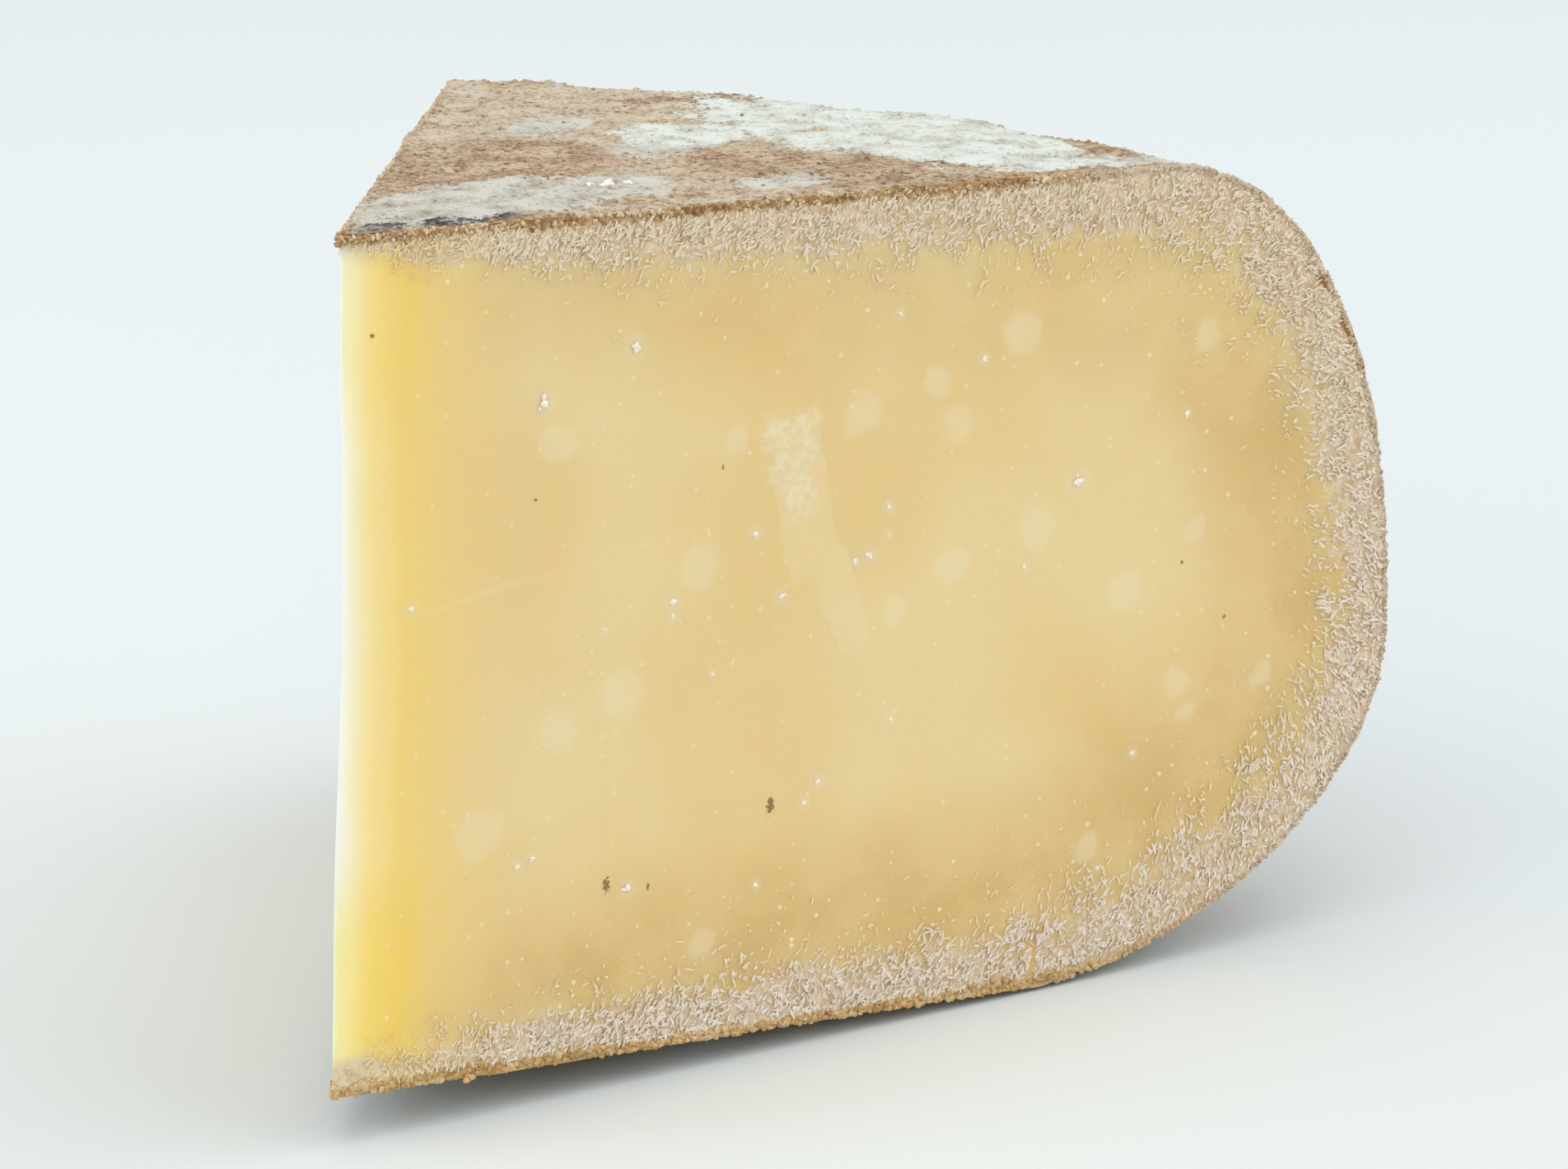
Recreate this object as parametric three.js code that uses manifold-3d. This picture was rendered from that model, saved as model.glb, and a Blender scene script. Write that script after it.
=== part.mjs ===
// A wedge cut from a round wheel of hard, natural-rind cheese.
// Millimetres, +Z up. The wheel's axis is the wedge's thin nose edge, the wedge stands
// on the wheel's underside, and the front cut face looks along -Y.

import Module from "manifold-3d";
import * as THREE from "three";
import { mergeVertices } from "three/addons/utils/BufferGeometryUtils.js";

// Driving dimensions
const WHEEL_RADIUS = 160;
const WHEEL_HEIGHT = 108;
const WEDGE_ANGLE = THREE.MathUtils.degToRad(54.5);
const BULGE_HEIGHT = 42; // where the rim is widest: the wheel sagged on its shelf
const TOP_FLAT_RADIUS = 121; // the flat part of the top, inside the shoulder
const UNDERSIDE_FLAT_RADIUS = 101; // the flat part that the wedge rests on
const TOP_SHOULDER_ROUNDNESS = 2.15; // 2 is an ellipse, more is squarer
const UNDERSIDE_SHOULDER_ROUNDNESS = 1.85;

// Fineness
const SHOULDER_STEPS = 20;
const WHEEL_SEGMENTS = 240;

const PASTE = { color: 0xe3cb94, roughness: 0.55, metalness: 0 };

const { Manifold, Mesh: SolidMesh } = await loadSolids();

async function loadSolids() {
  const wasm = await Module();
  wasm.setup();
  return wasm;
}

/** One quarter of a superellipse, from (centre + width, 0) at 0 to (centre, height) at 1. */
function shoulderPoint(share, flatRadius, height, roundness) {
  const angle = (share * Math.PI) / 2;
  const reach = WHEEL_RADIUS - flatRadius;
  const out = Math.cos(angle) ** (2 / roundness);
  const along = Math.sin(angle) ** (2 / roundness);
  return [flatRadius + reach * out, height * along];
}

/** Half the wheel's section: radius and height, from the axis below to the axis above. */
function wheelSection() {
  const section = [new THREE.Vector2(0, 0)];
  for (let step = SHOULDER_STEPS; step > 0; step -= 1) {
    const [radius, drop] = shoulderPoint(
      step / SHOULDER_STEPS,
      UNDERSIDE_FLAT_RADIUS,
      BULGE_HEIGHT,
      UNDERSIDE_SHOULDER_ROUNDNESS,
    );
    section.push(new THREE.Vector2(radius, BULGE_HEIGHT - drop));
  }
  for (let step = 0; step <= SHOULDER_STEPS; step += 1) {
    const [radius, rise] = shoulderPoint(
      step / SHOULDER_STEPS,
      TOP_FLAT_RADIUS,
      WHEEL_HEIGHT - BULGE_HEIGHT,
      TOP_SHOULDER_ROUNDNESS,
    );
    section.push(new THREE.Vector2(radius, BULGE_HEIGHT + rise));
  }
  section.push(new THREE.Vector2(0, WHEEL_HEIGHT));
  return section;
}

/** The whole wheel, standing on z = 0 with its axis along Z. */
function wheel() {
  return new THREE.LatheGeometry(wheelSection(), WHEEL_SEGMENTS).rotateX(Math.PI / 2);
}

/** The space between the two knife cuts, from the axis to well past the rim. */
function knifeWedge() {
  const reach = WHEEL_RADIUS * 1.5;
  const clearance = 10;
  const outline = new THREE.Shape([
    new THREE.Vector2(0, 0),
    new THREE.Vector2(reach, 0),
    new THREE.Vector2(reach * Math.cos(WEDGE_ANGLE), reach * Math.sin(WEDGE_ANGLE)),
  ]);
  const depth = WHEEL_HEIGHT + 2 * clearance;
  return new THREE.ExtrudeGeometry(outline, { depth, bevelEnabled: false })
    .translate(0, 0, -clearance);
}

function toSolid(geometry) {
  const bare = geometry.clone();
  bare.deleteAttribute("normal");
  bare.deleteAttribute("uv");
  const merged = mergeVertices(bare);
  return new Manifold(new SolidMesh({
    numProp: 3,
    vertProperties: merged.attributes.position.array,
    triVerts: merged.index.array,
  }));
}

function toGeometry(solid) {
  const { vertProperties, triVerts } = solid.getMesh();
  const geometry = new THREE.BufferGeometry();
  geometry.setAttribute("position", new THREE.BufferAttribute(vertProperties, 3));
  geometry.setIndex(new THREE.BufferAttribute(triVerts, 1));
  geometry.computeVertexNormals();
  return geometry;
}

/** The cut wedge, with its origin below the middle of its bounding box. */
function cheeseWedge() {
  const geometry = toGeometry(toSolid(wheel()).intersect(toSolid(knifeWedge())));
  const width = WHEEL_RADIUS;
  const depth = WHEEL_RADIUS * Math.sin(WEDGE_ANGLE);
  geometry.translate(-width / 2, -depth / 2, 0);
  const mesh = new THREE.Mesh(geometry, new THREE.MeshStandardMaterial(PASTE));
  mesh.name = "cheese_wedge";
  return mesh;
}

const part = new THREE.Group();
part.add(cheeseWedge());

export default part;
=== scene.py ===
"""A wedge of hard, natural-rind cheese, cut from a round wheel, on a pale table."""
import math

import bpy
import numpy as np
from mathutils import Matrix, Vector, noise


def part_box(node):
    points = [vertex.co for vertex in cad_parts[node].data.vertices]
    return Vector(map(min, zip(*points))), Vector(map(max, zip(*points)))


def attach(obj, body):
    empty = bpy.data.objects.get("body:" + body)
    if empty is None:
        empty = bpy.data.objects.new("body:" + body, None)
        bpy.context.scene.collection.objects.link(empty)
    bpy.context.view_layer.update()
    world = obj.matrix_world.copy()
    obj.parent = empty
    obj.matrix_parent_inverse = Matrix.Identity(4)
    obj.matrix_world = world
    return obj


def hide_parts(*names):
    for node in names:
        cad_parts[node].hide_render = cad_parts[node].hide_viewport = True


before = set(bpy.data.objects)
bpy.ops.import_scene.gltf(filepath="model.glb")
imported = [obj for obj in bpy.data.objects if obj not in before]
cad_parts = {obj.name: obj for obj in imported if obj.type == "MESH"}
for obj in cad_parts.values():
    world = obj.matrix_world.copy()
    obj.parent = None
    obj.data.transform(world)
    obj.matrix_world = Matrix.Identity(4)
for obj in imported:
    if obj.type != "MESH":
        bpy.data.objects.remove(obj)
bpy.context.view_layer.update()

MM = 0.001

# ------------------------ the wheel and its cut

WEDGE = "cheese_wedge"
lowest, highest = (Vector(corner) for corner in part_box(WEDGE))
RADIUS = highest.x - lowest.x
HEIGHT = highest.z - lowest.z
WEDGE_ANGLE = math.asin((highest.y - lowest.y) / RADIUS)
NOSE = Vector((lowest.x, lowest.y, lowest.z))

BULGE_HEIGHT = 42 * MM
TOP_FLAT = 121 * MM
UNDERSIDE_FLAT = 101 * MM
TOP_ROUNDNESS = 2.15
UNDERSIDE_ROUNDNESS = 1.85

# ------------------------ fineness of the mesh

FLAT_STEPS = 104  # along the straight part of the section, above and below
RIM_STEPS = 196  # round the shoulders and the rim
BAND_STEPS = 20  # from the rind inwards, across the dry border
CORE_STEPS = 14  # from the dry border to the middle of the paste
SWEEP_STEPS = 132  # from one cut to the other
BAND_REACH = 14 * MM

# Numbers stored on the points of the meshes, which the materials read.
DEPTH = "depth"  # how far below the rind a point of a cut face lies, in millimetres
ON_RIND = 0.01  # a depth below this is the rind itself
DRYNESS = "dryness"  # 1 at the rind, 0 where the dry border ends, below 0 in the paste
MARGIN = "margin"  # how far a point of the rind is from the nearer cut, in millimetres
TONE = "tone"  # a number from 0 to 1 for each crumb or shred
TIP = "tip"  # 0 at the root of a shred and 1 at its tip

# How wide the dry border is, in millimetres, at shares of the way round the section's
# edge, from the nose out along the underside, round the rim and back along the top.
BORDER_SHARES = (0.0, 0.1, 0.25, 0.35, 0.5, 0.62, 0.75, 0.9, 0.97, 1.0)
BORDER_WIDTHS = (5.0, 7.5, 9.0, 12.0, 10.0, 11.5, 9.0, 6.8, 4.6, 2.0)

# The nose is cut a little hollow: how far it stands back, in millimetres, at each height.
HOLLOW_HEIGHTS = (0, 27, 46, 62, 73, 90, 108)
HOLLOW_DEPTHS = (0.0, 0.2, 1.2, 1.7, 1.6, 1.1, 0.7)
HOLLOW_REACH = 13 * MM

BISECTOR = Vector((math.cos(WEDGE_ANGLE / 2), math.sin(WEDGE_ANGLE / 2), 0))
# For each cut: the direction from the nose to the rim, and the way the cut faces.
CUTS = {
    "front": (Vector((1, 0, 0)), Vector((0, -1, 0))),
    "back": (Vector((math.cos(WEDGE_ANGLE), math.sin(WEDGE_ANGLE), 0)),
             Vector((-math.sin(WEDGE_ANGLE), math.cos(WEDGE_ANGLE), 0))),
}

# ------------------------ marks, all in millimetres

# Relief of the body: where, how far apart its lumps are, and how high they are.
RELIEF = [("rind", 24, 1.8), ("rind", 6, 0.9), ("rind", 1.8, 0.5), ("border", 1.6, 0.5),
          ("paste", 18, 0.5)]

FLECK_TRIES = 34000  # spots tried for slivers in each cut, of which this many are kept:
FLECK_COUNT = 9600
FLECK_LEAN = -30  # degrees that the slivers lean away from straight inwards
FLECK_LEAN_SPREAD = 36
EDGE_CRUMB_COUNT = 4600
RIND_CRUMB_COUNT = 8000

# Hard white crystals in the front cut: along from the nose, up from the underside, size.
CRYSTALS = [
    (29, 85, 0.75), (42, 91, 0.8), (81, 92, 0.45), (94, 85, 0.5), (109, 67.5, 0.95),
    (126, 75, 0.45), (80, 67, 0.5), (80, 63.5, 0.35), (60, 65.5, 0.55), (64, 57, 0.6),
    (48, 58, 0.6), (48, 56, 0.4), (77, 61, 0.6), (75, 60.5, 0.4), (101, 57, 0.4),
    (10.5, 61, 0.55), (70, 32, 0.55), (68, 29.5, 0.45), (42, 21.5, 0.7), (61, 19.5, 0.45),
    (26, 26.5, 0.5), (28, 27.3, 0.45), (119, 30, 0.45), (114, 15, 0.4), (54, 48, 0.3),
    (38, 55.5, 0.35), (81, 39, 0.4)]

# Soft pale discs in the front cut: along, up, half width.
PALE_DISCS = [
    (100, 88, 3.0), (31, 80, 2.4), (90, 77, 2.3), (87, 83, 2.0), (75.5, 79.5, 2.6),
    (129, 85, 1.9), (51.5, 62, 2.9), (103, 62, 2.8), (90, 58, 2.4), (117, 52, 2.7),
    (128, 59, 1.9), (81, 53, 1.7), (41, 47, 3.3), (31.5, 43, 2.6), (20.5, 31, 3.2),
    (53, 12.5, 2.1), (139.5, 38.5, 1.7), (126, 39, 1.8), (127.5, 34.5, 1.5), (112, 18, 1.9),
    (57, 77.5, 1.8)]

# Marks on the front cut: along, up, half width, half height, lean in degrees.
# Small pits, drawn dark with painted shade instead of real depth.
SHADED_PITS = [(63, 29.6, 0.5, 1.1, 0), (39, 22.4, 0.45, 0.9, 0), (45, 21.3, 0.18, 0.5, 0),
              (5, 95.5, 0.3, 0.25, 0), (55, 74.5, 0.15, 0.3, 0), (133, 47, 0.25, 0.25, 0),
              (126, 55, 0.25, 0.25, 0), (28, 73, 0.17, 0.17, 0)]
SCRATCHES = [(20.3, 61.7, 8.0, 0.24, -10), (22.5, 62.4, 3.6, 0.3, -12)]
CRACKS = [(104, 4.0, 0.42, 3.2, 3), (103, 5.6, 0.25, 1.2, 30)]

# Gaps between the paste and the rind high on the rim, given in the same way; their dark is painted
# shade, without real depth.
RIM_GAPS = [(147.8, 90.5, 0.6, 2.0, -38), (151.9, 83.6, 0.6, 2.6, -30),
            (154.4, 78.5, 0.4, 1.4, -24), (155.8, 75.2, 0.35, 1.6, -18)]

# Crumbs that hang under the front edge or lie by it: along, up, out from the cut, size.
HANGING = [(19, 0.2, 0.4, 0.9), (20.5, 0.7, 0.3, 0.6), (46, 0.4, 0.4, 0.55), (72, 0.5, 0.4, 0.5),
           (58, 0.5, 0.2, 0.45), (33, 0.5, 0.3, 0.45), (11, 0.7, 0.2, 0.4)]

# The streak of paste dragged over the front cut, given in the same way: a bar, its tapered
# tail and its frosted end.
SMEAR_BARS = [(67.0, 69.5, 4.0, 10.5, -9)]
SMEAR_TAILS = [(72.4, 56.5, 3.1, 9.8, -22)]
FROSTED_BARS = [(65.3, 76.5, 3.8, 4.0, -9), (66.5, 70, 2.2, 3.0, -9)]

# Patches on top of the rind: kind, along from the nose, back from the front cut,
# half width, half depth, and lean in degrees. Later ones lie over earlier ones.
TOP_PATCHES = [
    ("tan", 72, 86, 26, 17, 55), ("tan", 60, 58, 24, 20, 55), ("chalk", 64, 61, 9, 5, 30),
    ("chalk", 72, 42, 12, 6, 20), ("tan", 86, 66, 8, 6, 0),
    ("white", 104, 38, 19, 37, 8), ("white", 77, 48, 9, 9, 20), ("brown", 44, 39, 19, 14, 30),
    ("brown", 78, 20, 12, 15, 60), ("brown", 123, 17, 3, 8, 0), ("chalk", 31, 15, 27, 10.5, 14),
    ("chalk", 70, 11, 7, 4, 10), ("brown", 100, 2, 26, 2.5, 0), ("mould", 8, 3.6, 4.5, 2.6, 20),
    ("mould", 17, 2.6, 5, 2.4, 8), ("mould", 25, 2.2, 5, 2.4, 0)]

# How solid a kind of patch is, and how far noise eats into it; the others take 1 and 2.5.
PATCH_KINDS = {"mould": (0.6, 6.0), "white": (0.9, 3.2)}

# Lumps on top of the rind, and white crumbs: along, back from the front cut, size.
TOP_LUMPS = [(95, 42.5, 1.1), (62, 74, 0.5), (88, 61, 0.45), (30, 33, 0.4)]
WHITE_CRUMBS = [(49, 19, 0.9), (51.5, 18.3, 0.7), (46.5, 19.6, 0.5), (66, 12, 0.4)]

# ------------------------ camera and stance

CAMERA_FROM_NOSE = Vector((-383.7, -711.0, 251.6)) * MM
CAMERA_AZIMUTH = math.radians(-32.22)
CAMERA_DOWN = math.radians(12.94)
CAMERA_ROLL = math.radians(1.17)
LENS = 156.6
TIPPED = math.radians(3.6)  # how far the nose end leans up off the table

# Square lamps: name, place, width in metres, power in watts.
SOFT_BOXES = [
    ("ceiling", (0.3, 0.2, 2.1), 2.0, 11.5),
    ("left_wash", (-0.6, 0.35, 0.4), 0.4, 1.0),
    ("right_wash", (0.6, -0.25, 0.35), 0.4, 0.35)]

# Wide patches of sky: name, the way from the wedge to it, width in degrees, strength.
SOFT_SUNS = [("left", (-1.0, -0.45, 1.0), 80, 1.1), ("right", (1.0, -0.6, 1.0), 80, 1.07)]
SKY_COLOUR = (0.97, 1.0, 1.0, 1)
SKY_STRENGTH = 0.47

# ------------------------ colours

def tint(red, green, blue):
    """A colour given in the usual 0 to 255 steps, as a shader takes it."""
    steps = [value / 255 for value in (red, green, blue)]
    return [s / 12.92 if s <= 0.04045 else ((s + 0.055) / 1.055) ** 2.4 for s in steps] + [1]


PASTE_PALE = tint(238, 216, 163)
PASTE_WARM = tint(236, 209, 149)
OCHRE = tint(227, 197, 137)
OCHRE_DEEP = tint(222, 190, 128)
DISC = tint(243, 231, 198)
SPECK = tint(245, 232, 196)
DRY_GAP = tint(206, 176, 132)
DRY_LIGHT = tint(230, 211, 184)
CRUST_DARK = tint(132, 94, 56)
CRUST_GOLD = tint(196, 154, 100)
RIM_CRUST = tint(216, 199, 174)
GOLD = tint(222, 184, 120)
CRACK = tint(228, 182, 116)
# Painted shade: the dark of the gaps by the rim and of the small pits, which have no real depth.
GAP = tint(156, 112, 68)
PIT = tint(140, 104, 58)
FLECK_CREAM = tint(241, 229, 206)
FLECK_PINK = tint(245, 236, 226)
FLECK_SHADE = tint(224, 208, 184)
FLECK_YELLOW = tint(243, 225, 178)
FLECK_ROOT = tint(212, 186, 150)
TAN = tint(216, 202, 180)
TAN_DEEP = tint(200, 182, 156)
BROWN = tint(210, 188, 160)
BROWN_DEEP = tint(174, 146, 118)
CHALK = tint(214, 211, 200)
CHALK_DULL = tint(192, 185, 169)
WHITE = tint(228, 233, 226)
WHITE_DULL = tint(202, 201, 188)
MOULD = tint(98, 98, 102)
MOULD_DARK = tint(34, 40, 56)
LIP = tint(202, 172, 132)
LIP_DARK = tint(154, 120, 84)
RIND_PIT = tint(102, 76, 54)
RIND_GRAIN = tint(232, 227, 213)
CRYSTAL = tint(251, 243, 230)
CRYSTAL_WARM = tint(247, 235, 214)
SMEAR = tint(240, 222, 177)
TABLE = tint(217, 223, 225)
TABLE_LIGHT = tint(219, 225, 227)

# Painted glow of light coming through the thin nose: colours from the nose's edge inwards, over 30
# mm.
PAINTED_NOSE_GLOW = [
    (0.0, tint(232, 232, 232)), (0.07, tint(245, 237, 220)), (0.17, tint(248, 230, 166)),
    (0.32, tint(245, 218, 134)), (0.55, tint(242, 213, 140)), (0.85, tint(237, 210, 148))]
# A tint on the painted nose glow: how much of the light gets through near the nose's two ends,
# against its middle.
NOSE_GLOW_TINT = (1.0, 0.93, 0.52, 1)
# From the darkest crumbs to the lightest.
EDGE_SHADES = [
    (0.0, tint(140, 104, 66)), (0.3, tint(184, 147, 100)), (0.6, tint(212, 181, 136)),
    (1.0, tint(232, 214, 182))]


# ------------------------ the wheel's section

def shoulder(flat, rise, roundness, steps=400):
    """A quarter of a superellipse: radius and height, from the rim to the flat."""
    angle = np.linspace(0, math.pi / 2, steps)
    radius = flat + (RADIUS - flat) * np.cos(angle).clip(0) ** (2 / roundness)
    return radius, rise * np.sin(angle) ** (2 / roundness)


def rim_outline():
    """Points spaced evenly from the underside's flat, round the rim, to the same radius on top."""
    radius_below, drop = shoulder(UNDERSIDE_FLAT, BULGE_HEIGHT, UNDERSIDE_ROUNDNESS)
    radius_above, rise = shoulder(TOP_FLAT, HEIGHT - BULGE_HEIGHT, TOP_ROUNDNESS)
    radius = np.concatenate([radius_below[::-1], radius_above[1:], [UNDERSIDE_FLAT]])
    height = np.concatenate([BULGE_HEIGHT - drop[::-1], BULGE_HEIGHT + rise[1:], [HEIGHT]])
    length = np.concatenate([[0], np.cumsum(np.hypot(np.diff(radius), np.diff(height)))])
    even = np.linspace(0, length[-1], RIM_STEPS + 1)
    return np.column_stack([np.interp(even, length, radius), np.interp(even, length, height)])


def section_outline():
    """Radius and height along the section's edge: out along the underside, back along the top."""
    flat = np.linspace(0, UNDERSIDE_FLAT, FLAT_STEPS + 1)
    below = np.column_stack([flat, np.zeros_like(flat)])
    above = np.column_stack([flat[::-1], np.full_like(flat, HEIGHT)])
    return np.concatenate([below, rim_outline()[1:-1], above])


def inward(outline):
    """The direction into the paste at each point of the outline."""
    along = np.gradient(outline, axis=0)
    along /= np.linalg.norm(along, axis=1, keepdims=True)
    return np.column_stack([-along[:, 1], along[:, 0]])


def border_width(outline):
    """The dry border's width in millimetres at each point of the outline."""
    length = np.concatenate([[0], np.cumsum(np.linalg.norm(np.diff(outline, axis=0), axis=1))])
    return np.interp(length / length[-1], BORDER_SHARES, BORDER_WIDTHS)


def section_rings():
    """Points of the cut face as rings from the rind to the middle, with depth and dryness."""
    outline = section_outline()
    into = inward(outline)
    spine = np.column_stack([
        outline[:, 0].clip(0, UNDERSIDE_FLAT),
        np.full(len(outline), HEIGHT / 2),
    ])
    inner = outline + into * BAND_REACH
    rings = [outline + into * BAND_REACH * (step / BAND_STEPS) ** 1.3
             for step in range(BAND_STEPS)]
    rings += [inner + (spine - inner) * step / CORE_STEPS for step in range(CORE_STEPS + 1)]
    rings = np.array(rings)
    depths = np.linalg.norm(rings - outline, axis=2) / MM
    return rings, depths, 1 - depths / border_width(outline)


# ------------------------ bench work on meshes

def only(piece):
    """Selects one object and makes it the active one."""
    bpy.ops.object.select_all(action="DESELECT")
    piece.select_set(True)
    bpy.context.view_layer.objects.active = piece


def edit(select):
    """Goes into edit mode with everything or nothing selected."""
    bpy.ops.object.mode_set(mode="EDIT")
    bpy.ops.mesh.select_mode(type="VERT")
    bpy.ops.mesh.select_all(action=select)


def finish_edit():
    bpy.ops.object.mode_set(mode="OBJECT")


def points_of(mesh):
    """The mesh's points as rows of three numbers."""
    flat = np.empty(len(mesh.vertices) * 3)
    mesh.vertices.foreach_get("co", flat)
    return flat.reshape(-1, 3)


def place_points(mesh, points):
    mesh.vertices.foreach_set("co", np.asarray(points, dtype=np.float32).ravel())
    mesh.update()


def numbers_of(mesh, name):
    values = np.empty(len(mesh.vertices))
    mesh.attributes[name].data.foreach_get("value", values)
    return values


def write_numbers(mesh, name, values):
    if name not in mesh.attributes:
        mesh.attributes.new(name, "FLOAT", "POINT")
    mesh.attributes[name].data.foreach_set("value", np.asarray(values, dtype=np.float32))


def group_points(piece, name, weights):
    """A vertex group with a weight for each point."""
    group = piece.vertex_groups.new(name=name)
    steps = np.round(weights * 20).astype(int)
    for step in range(1, 21):
        chosen = np.flatnonzero(steps == step).tolist()
        if chosen:
            group.add(chosen, step / 20, "REPLACE")


def roughen(piece, group, grain, height):
    """Raises and sinks a group's points along their normals by soft noise."""
    texture = bpy.data.textures.new(f"{group}_clouds", "CLOUDS")
    texture.noise_scale = grain
    only(piece)
    displace = piece.modifiers.new("roughen", "DISPLACE")
    displace.texture = texture
    displace.texture_coords = "LOCAL"
    displace.vertex_group = group
    displace.strength = height
    displace.mid_level = 0.5
    bpy.ops.object.modifier_apply(modifier=displace.name)


# ------------------------ the wedge's body

def cut_face():
    """The front cut face: a grid bent into rings that follow the section's edge."""
    rings, depths, dryness = section_rings()
    ring_count, ring_length = depths.shape
    bpy.ops.object.select_all(action="DESELECT")
    bpy.ops.mesh.primitive_grid_add(
        x_subdivisions=ring_length - 1, y_subdivisions=ring_count - 1, size=1)
    piece = bpy.context.object
    grid = points_of(piece.data) + 0.5
    along = np.round(grid[:, 0] * (ring_length - 1)).astype(int)
    deep = np.round(grid[:, 1] * (ring_count - 1)).astype(int)
    radius, height = rings[deep, along].T
    place_points(piece.data, np.column_stack([
        NOSE.x + radius, np.full_like(radius, NOSE.y), NOSE.z + height]))
    write_numbers(piece.data, DEPTH, depths[deep, along])
    write_numbers(piece.data, DRYNESS, dryness[deep, along])
    return piece


def turned_about_nose(piece, angle):
    """A copy of a piece, with its own mesh, turned about the wheel's axis."""
    copy = bpy.data.objects.new(piece.name, piece.data.copy())
    bpy.context.collection.objects.link(copy)
    copy.data.transform(
        Matrix.Translation(NOSE) @ Matrix.Rotation(angle, 4, "Z") @ Matrix.Translation(-NOSE))
    return copy


def sweep_rind(piece):
    """Spins the section's edge from the front cut to the back one."""
    only(piece)
    edit("DESELECT")
    finish_edit()
    on_edge = numbers_of(piece.data, DEPTH) < ON_RIND
    for vertex, chosen in zip(piece.data.vertices, on_edge):
        vertex.select = bool(chosen)
    bpy.ops.object.mode_set(mode="EDIT")
    bpy.ops.mesh.select_mode(type="EDGE")
    bpy.ops.mesh.spin(
        steps=SWEEP_STEPS, angle=WEDGE_ANGLE, center=tuple(NOSE), axis=(0, 0, -1))
    finish_edit()


def close_body(front, back):
    """Joins the swept front and the back face into one closed skin that faces out."""
    bpy.ops.object.select_all(action="DESELECT")
    back.select_set(True)
    front.select_set(True)
    bpy.context.view_layer.objects.active = front
    bpy.ops.object.join()
    edit("SELECT")
    bpy.ops.mesh.remove_doubles(threshold=0.03 * MM)
    bpy.ops.mesh.normals_make_consistent(inside=False)
    finish_edit()


def hollow_nose(mesh):
    """Sets the nose back a little between its top and bottom corners."""
    points = points_of(mesh)
    from_nose = np.hypot(points[:, 0] - NOSE.x, points[:, 1] - NOSE.y)
    height = (points[:, 2] - NOSE.z) / MM
    fade = (1 - from_nose / HOLLOW_REACH).clip(0, 1) ** 1.5
    back = fade * np.interp(height, HOLLOW_HEIGHTS, HOLLOW_DEPTHS) * MM
    place_points(mesh, points + back[:, None] * np.array(BISECTOR))


def margin_of(points):
    """How far each point is from the nearer cut, in millimetres."""
    from_nose = points - np.array(NOSE)
    inside = [-from_nose @ np.array(facing) for _, facing in CUTS.values()]
    return np.minimum(*inside).clip(0, None) / MM


def bare_wedge():
    front = cut_face()
    back = turned_about_nose(front, WEDGE_ANGLE)
    sweep_rind(front)
    close_body(front, back)
    hollow_nose(front.data)
    front.name = "cheese_body"
    front.data.name = "cheese_body"
    return front


# ------------------------ shreds, crumbs and crystals

def pattern(name, widen, curl, lift):
    """A small faceted lump, bent to shape; it is copied many times and then put away."""
    bpy.ops.object.select_all(action="DESELECT")
    bpy.ops.mesh.primitive_ico_sphere_add(subdivisions=1, radius=1)
    piece = bpy.context.object
    piece.name = name
    across, along, up = points_of(piece.data).T
    place_points(piece.data, np.column_stack([
        across * widen(along) + curl * along ** 2, along, up + lift(along)]))
    return piece


def copies_of(piece, name, places, frames, tones):
    """One mesh with a copy of a piece at each place, turned and sized by its frame."""
    shape = points_of(piece.data)
    corners = np.array([face.vertices[:] for face in piece.data.polygons])
    points = places[:, None] + np.einsum("pk,nkc->npc", shape, frames)
    starts = np.arange(len(places)) * len(shape)
    mesh = bpy.data.meshes.new(name)
    mesh.from_pydata(
        points.reshape(-1, 3).tolist(), [],
        (corners[None] + starts[:, None, None]).reshape(-1, 3).tolist())
    write_numbers(mesh, TONE, np.repeat(tones, len(shape)))
    write_numbers(mesh, TIP, np.tile(shape[:, 1] / 2 + 0.5, len(places)))
    write_numbers(mesh, MARGIN, margin_of(points.reshape(-1, 3)))
    copy = bpy.data.objects.new(name, mesh)
    bpy.context.collection.objects.link(copy)
    return copy


def put_away(piece):
    mesh = piece.data
    bpy.data.objects.remove(piece)
    bpy.data.meshes.remove(mesh)


def frames_from(along, up, width, length, height):
    """Right-handed frames: across, along and up, each as long as the copy is to be."""
    along = along / np.linalg.norm(along, axis=1, keepdims=True)
    across = np.cross(along, up)
    across /= np.linalg.norm(across, axis=1, keepdims=True)
    up = np.cross(across, along)
    sizes = np.stack([width, length, height], axis=1)
    return np.stack([across, along, up], axis=1) * sizes[:, :, None]


def along_edge(chance, count):
    """Random points of the section's edge: radius and height, the way in, and border width."""
    outline = section_outline()
    into = inward(outline)
    width = border_width(outline)
    spot = chance.uniform(0, len(outline) - 1, count)
    low = spot.astype(int)
    share = (spot - low)[:, None]
    mixed = [table[low] * (1 - share) + table[low + 1] * share
             for table in (outline, into, width[:, None])]
    return mixed[0], mixed[1], mixed[2][:, 0]


def on_cut(cut, flat, lift):
    """Places in space for radius-and-height points of a cut, raised above it by lift."""
    outwards, facing = (np.array(way) for way in CUTS[cut])
    return (np.array(NOSE) + flat[:, :1] * outwards + flat[:, 1:] * np.array([0, 0, 1])
            + np.asarray(lift)[:, None] * facing)


def on_top(spots):
    """Places on top of the wedge for rows of millimetres along and back from the front cut."""
    return np.column_stack([
        NOSE.x + spots[:, 0] * MM, NOSE.y + spots[:, 1] * MM, np.full(len(spots), HEIGHT)])


def swirl(places, grain):
    """Soft noise between about -1 and 1 at each place."""
    return np.array([noise.noise(Vector(place) / grain) for place in places])


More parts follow.
